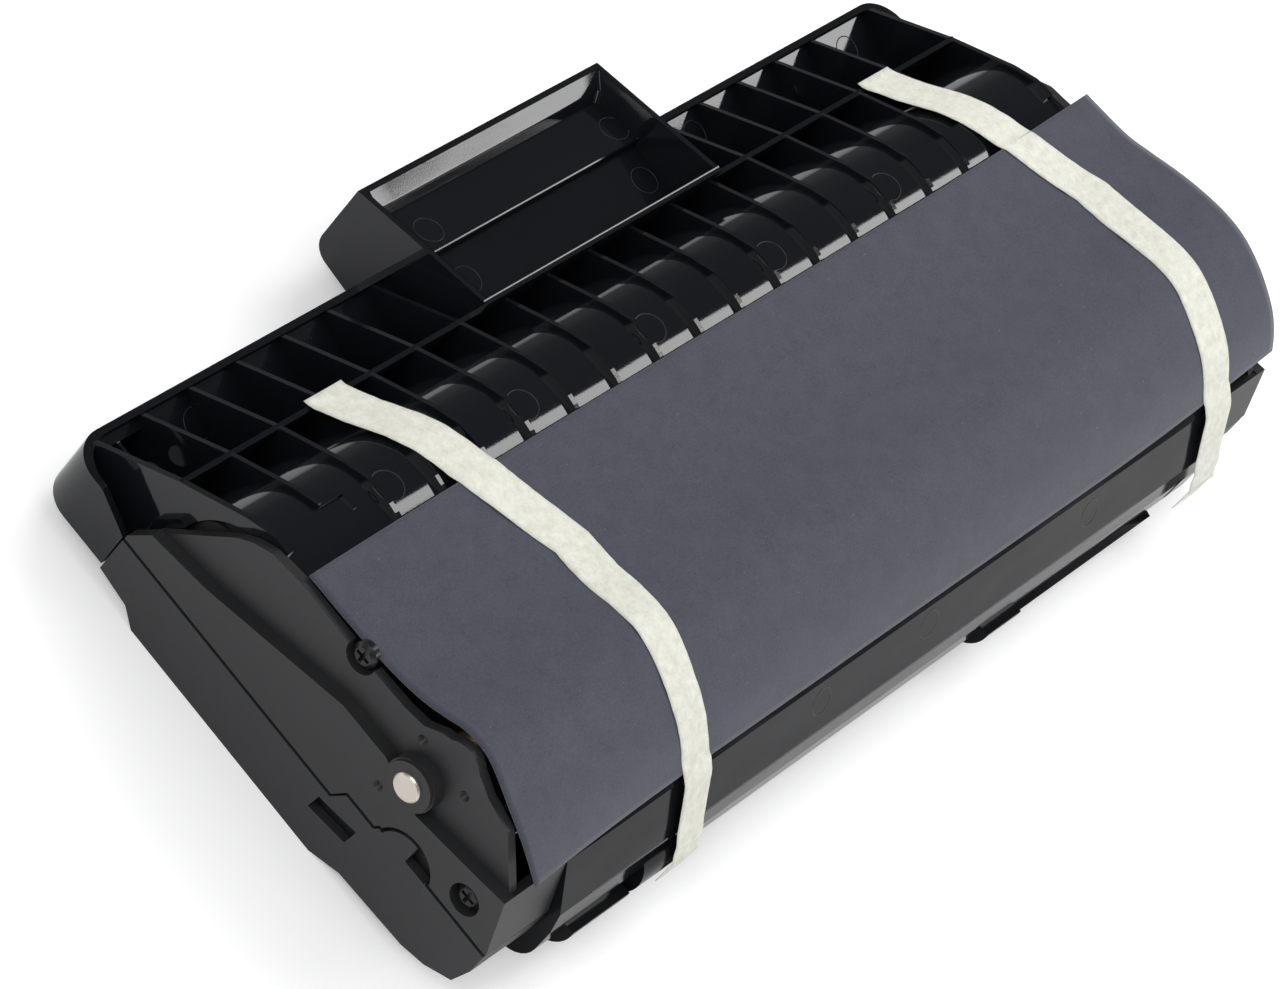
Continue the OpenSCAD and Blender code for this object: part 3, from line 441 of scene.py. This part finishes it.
def buildTape(name, tape):
    # the middle line first, so that rows are evenly spaced along the surface
    runs = np.linspace(tapeStock["first"], tapeStock["last"], 400)
    path = []
    for run in runs:
        middle = (edgeAt(tape["edgeA"], run) + edgeAt(tape["edgeB"], run)) / 2
        path.append((run, surfaceUnder(middle, run)))
    path += tapeStock["tail"]
    path = smoothPath(path[::8] + path[-2:], tape["rows"])
    points = []
    for row, (run, z) in enumerate(path):
        xa, xb = (edgeAt(tape[k], min(run, tapeStock["end"])) for k in ("edgeA", "edgeB"))
        for column in range(tape["columns"]):
            share = column / (tape["columns"] - 1)
            x = xa + (xb - xa) * share
            base = surfaceUnder(x, run) if run < tapeStock["lip"] else z
            edge = abs(share - 0.5) * 2
            pucker = noise.noise(Vector((x * 0.1, run * 0.16, tape["seed"]))) * 0.35 * edge ** 2
            ragged = noise.noise(Vector((run * 0.9, share * 3, tape["seed"] + 5))) * 0.14 * (edge > 0.99)
            lift = tape["clear"] + max(0, pucker)
            if run < tapeStock["lip"]:
                points.append(at(x + ragged, run, base + lift))
            else:
                points.append(at(x + ragged, run + lift * 0.6, z))
    obj = meshObject(name, points, gridFaces(tape["rows"], tape["columns"]), "paper_tape")
    thicken(obj, tapeStock["thickness"], 0)
    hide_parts(tape["node"])
    return obj


for name, tape in tapes.items():
    buildTape(name, tape)
print("tapes")


# inclined lining of the grip's tray: a rear wall and two side walls with rounded corners
# the rim of the grip rises from lowTop at its outer edge to highTop over its whole reach
grip = {"rear": -15.0, "front": 21.6, "side": 42.35, "sideLean": 2.4, "corner": 0.9, "depth": 6.4,
        "step": 4.2, "lowFloor": 25.9, "shares": (0, 0.03, 0.25, 0.50, 0.557, 0.60, 0.7, 0.9, 0.96, 1.0),
        "bend": 0.557,
        "lean": (3.9, 5.4), "outerEdge": -16.5, "reach": 38.9, "lowTop": 30, "highTop": 38.6, "skin": 0.05,
        "rowsOfSide": (16, 10, 7, 5, 4.25, 4.15, 2, -2, -5)}


def gripTop(run):
    return grip["lowTop"] + (run - grip["outerEdge"]) * (grip["highTop"] - grip["lowTop"]) / grip["reach"]


def gripFloor(run):
    return gripTop(run) - grip["depth"] if run < grip["step"] else grip["lowFloor"]


# outline of the tray in plan at a given share of its depth: 0 at the rim and 1 at the floor
def gripOutline(share):
    side = grip["side"] - grip["sideLean"] * share
    rear = grip["rear"] + float(np.interp(share, [0, grip["bend"], 1], [0, *grip["lean"]]))
    r = grip["corner"]
    line = [(-side, run) for run in (grip["front"], *grip["rowsOfSide"])]
    turn = np.linspace(0, math.pi / 2, 9)
    line += [(-side + r - r * math.cos(a), rear + r - r * math.sin(a)) for a in turn]
    line += [(x, rear) for x in np.linspace(-side + r, side - r, 15)[1:-1]]
    line += [(side - r + r * math.sin(a), rear + r - r * math.cos(a)) for a in turn]
    return line + [(side, run) for run in (*reversed(grip["rowsOfSide"]), grip["front"])]


liningPoints = []
for share in grip["shares"]:
    for x, run in gripOutline(share):
        top = gripTop(run) - grip["skin"]
        liningPoints.append(at(x, run, top + (gripFloor(run) - 2 * grip["skin"] - top) * share))
liningFaces = gridFaces(len(grip["shares"]), len(gripOutline(0)))
gripLining = meshObject("gripLining", liningPoints, liningFaces, "frame_plastic")


# a thin bead on an edge along x, with a facet that leans 35 degrees to the front
def litBead(name, first, last, run, z, slot, width=0.35):
    run2, z2 = 0.82 * width, 0.57 * width
    section = ((-0.08, -0.08), (0, z2), (run2, 0))
    points = [at(x, run + a, z + b) for x in (first, last) for a, b in section]
    faces = [(0, 1, 4, 3), (1, 2, 5, 4), (2, 0, 3, 5), (0, 2, 1), (3, 4, 5)]
    return meshObject(name, points, faces, slot, False)


litBead("gripStepBead", -42.0, 41.0, 3.72, gripFloor(3.9), "frame_plastic")
litBead("gripLowBead", -40.2, 39.8, 4.75, grip["lowFloor"], "frame_plastic", 0.3)
litBead("gripFrontBead", -44.0, 44.0, 21.75, gripTop(21.9) - 0.1, "frame_plastic", 0.32)
litBead("binBead", -118.0, 96.0, 141.0, 25.1, "bin_plastic", 0.4)
print("grip lining")


# fine rings that the ejector pins leave on the mouldings, in a lighter finish that paints their highlight
# heightAt gives the surface's height at (x, run), and flat how much its slope shortens the run
def ejectorRing(name, x, run, radius, slot, heightAt, flat=1.0):
    points, around, line, rise = [], 48, 0.14, 0.12
    for i in range(around):
        a = 2 * math.pi * i / around
        for j in range(5):
            b = math.pi * j / 4
            reach = radius + line * math.cos(b)
            spotX, spotRun = x + reach * math.cos(a), run + reach * math.sin(a) * flat
            points.append(at(spotX, spotRun, heightAt(spotX, spotRun) + rise * math.sin(b) - 0.01))
    faces = [(i * 5 + j, i * 5 + j + 1, (i + 1) % around * 5 + j + 1, (i + 1) % around * 5 + j)
             for i in range(around) for j in range(4)]
    return meshObject(name, points, faces, slot)


# heights of the surfaces that the rings lie on: the tray's incline, a bulge's arc and the bin's facets
def trayHeight(x, run):
    return 20.2 - 8 / 23 * run


def bulgeHeight(x, run):
    return 23.97 + math.sqrt(23.1 ** 2 - (run - 49.08) ** 2)


def binHeight(x, run):
    return float(np.interp(run, [127.4, 134.2, 141.2], [44.8, 37.4, 25.0]))


ringKinds = {
    "tray": {"radius": 3.6, "height": trayHeight, "flat": 1.0},
    "grip": {"radius": 3.6, "height": lambda x, run: gripFloor(run), "flat": 1.0},
    "bulge": {"radius": 3.9, "height": bulgeHeight, "flat": 1.0},
    "bin": {"radius": 3.4, "height": binHeight, "flat": 0.52},
}
ringPlaces = [
    ("tray", -113.7, 8.6), ("tray", 67.6, 7.4), ("tray", 130.8, 7.6),
    ("grip", 37.2, -1.4), ("grip", -31.5, -1.6), ("grip", 35.0, 12.8), ("grip", -31.0, 12.6),
    ("bulge", -109.6, 48.2), ("bulge", -63.4, 48.2), ("bulge", -17.2, 48.2), ("bulge", 29.0, 48.2),
    ("bulge", 75.2, 48.2), ("bin", 73.0, 137.2), ("bin", -36.0, 137.0), ("bin", 6.0, 136.8)]
for number, (kind, x, run) in enumerate(ringPlaces):
    ring = ringKinds[kind]
    name = "ejectorRing%02d" % number
    # the rings take the lighter satin cap finish: a painted highlight that shows each ring line all round
    ejectorRing(name, x, run, ring["radius"], "cap_plastic", ring["height"], ring["flat"])
print("ejector rings")


# studio
floor = {"size": 6.0, "place": (0.6, 0.4, 0.0), "colour": (0.86, 0.86, 0.87), "lift": 0.25}
bpy.ops.mesh.primitive_plane_add(size=floor["size"], location=floor["place"])
floorObject = bpy.context.object
floorObject.name = "studioFloor"
p = Paint("floorWhite")
matt = p.add("ShaderNodeBsdfDiffuse", None, {"Color": floor["colour"]})
glow = p.add("ShaderNodeEmission", None, {"Color": (1, 1, 1), "Strength": floor["lift"]})
both = p.add("ShaderNodeAddShader", None, {0: matt, 1: glow})
seen = p.add("ShaderNodeLightPath", output="Is Camera Ray")
shown = p.add("ShaderNodeMixShader", None, {0: seen, 1: matt, 2: both})
p.add("ShaderNodeOutputMaterial", None, {"Surface": shown})
floorObject.data.materials.append(p.material)

world = bpy.data.worlds.new("studio")
bpy.context.scene.world = world
world.use_nodes = True
world.node_tree.nodes.clear()
p = Paint("studio", world.node_tree)
direction = p.add("ShaderNodeTexCoord", output="Generated")
height = p.add("ShaderNodeSeparateXYZ", None, {0: direction}, output=2)
sky = p.ramp(height, (0.0, 0.22), (0.10, 0.20), (0.26, 0.11), (1.0, 0.05))
reflected = p.add("ShaderNodeBackground", None, {"Color": sky, "Strength": 1.0})
fill = p.add("ShaderNodeBackground", None, {"Color": (1, 1, 1), "Strength": 0.55})
white = p.add("ShaderNodeBackground", None, {"Color": (1, 1, 1), "Strength": 1.0})
glossy = p.add("ShaderNodeLightPath", output="Is Glossy Ray")
camera = p.add("ShaderNodeLightPath", output="Is Camera Ray")
lit = p.add("ShaderNodeMixShader", None, {0: glossy, 1: fill, 2: reflected})
final = p.add("ShaderNodeMixShader", None, {0: camera, 1: lit, 2: white})
p.add("ShaderNodeOutputWorld", None, {"Surface": final})

# "seen" says whether a lamp shows as a highlight in glossy surfaces
lamps = {
    "keyBox": {"place": (1.05, -0.22, 1.05), "size": (0.22, 0.75), "power": 3.6, "seen": True},
    "topBox": {"place": (0.75, 0.35, 1.05), "size": (0.9, 0.7), "power": 7, "seen": False},
    "sideBox": {"place": (1.18, -1.03, 0.60), "size": (0.56, 0.34), "power": 4.0, "seen": True},
    "leftBox": {"place": (-1.1, 0.2, 1.1), "size": (0.9, 0.6), "power": 7, "seen": True},
    "frontBox": {"place": (-0.2, -1.5, 0.9), "size": (1.1, 0.7), "power": 6, "seen": True},
}
for name, lamp in lamps.items():
    light = bpy.data.lights.new(name, "AREA")
    light.shape = "RECTANGLE"
    light.size, light.size_y = lamp["size"]
    light.energy = lamp["power"]
    obj = bpy.data.objects.new(name, light)
    bpy.context.scene.collection.objects.link(obj)
    obj.location = lamp["place"]
    obj.rotation_euler = (-Vector(lamp["place"])).to_track_quat("-Z", "Y").to_euler()
    obj.visible_glossy = lamp["seen"]

view = {"place": (-0.8786, -0.15725, 0.8689), "right": (0.6002, -0.6311, 0.4914),
        "up": (0.3813, 0.7658, 0.5179), "forward": (0.7031, 0.1235, -0.7003), "lens": 151.9, "sensor": 36}
cameraData = bpy.data.cameras.new("camera")
cameraData.lens = view["lens"]
cameraData.sensor_width = view["sensor"]
cameraData.clip_start, cameraData.clip_end = 0.05, 20
cameraObject = bpy.data.objects.new("camera", cameraData)
bpy.context.scene.collection.objects.link(cameraObject)
turn = Matrix([view["right"], view["up"], [-f for f in view["forward"]]]).transposed()
cameraObject.matrix_world = Matrix.Translation(view["place"]) @ turn.to_4x4()
bpy.context.scene.camera = cameraObject
bpy.context.scene.view_settings.view_transform = "Standard"
print("studio and camera")
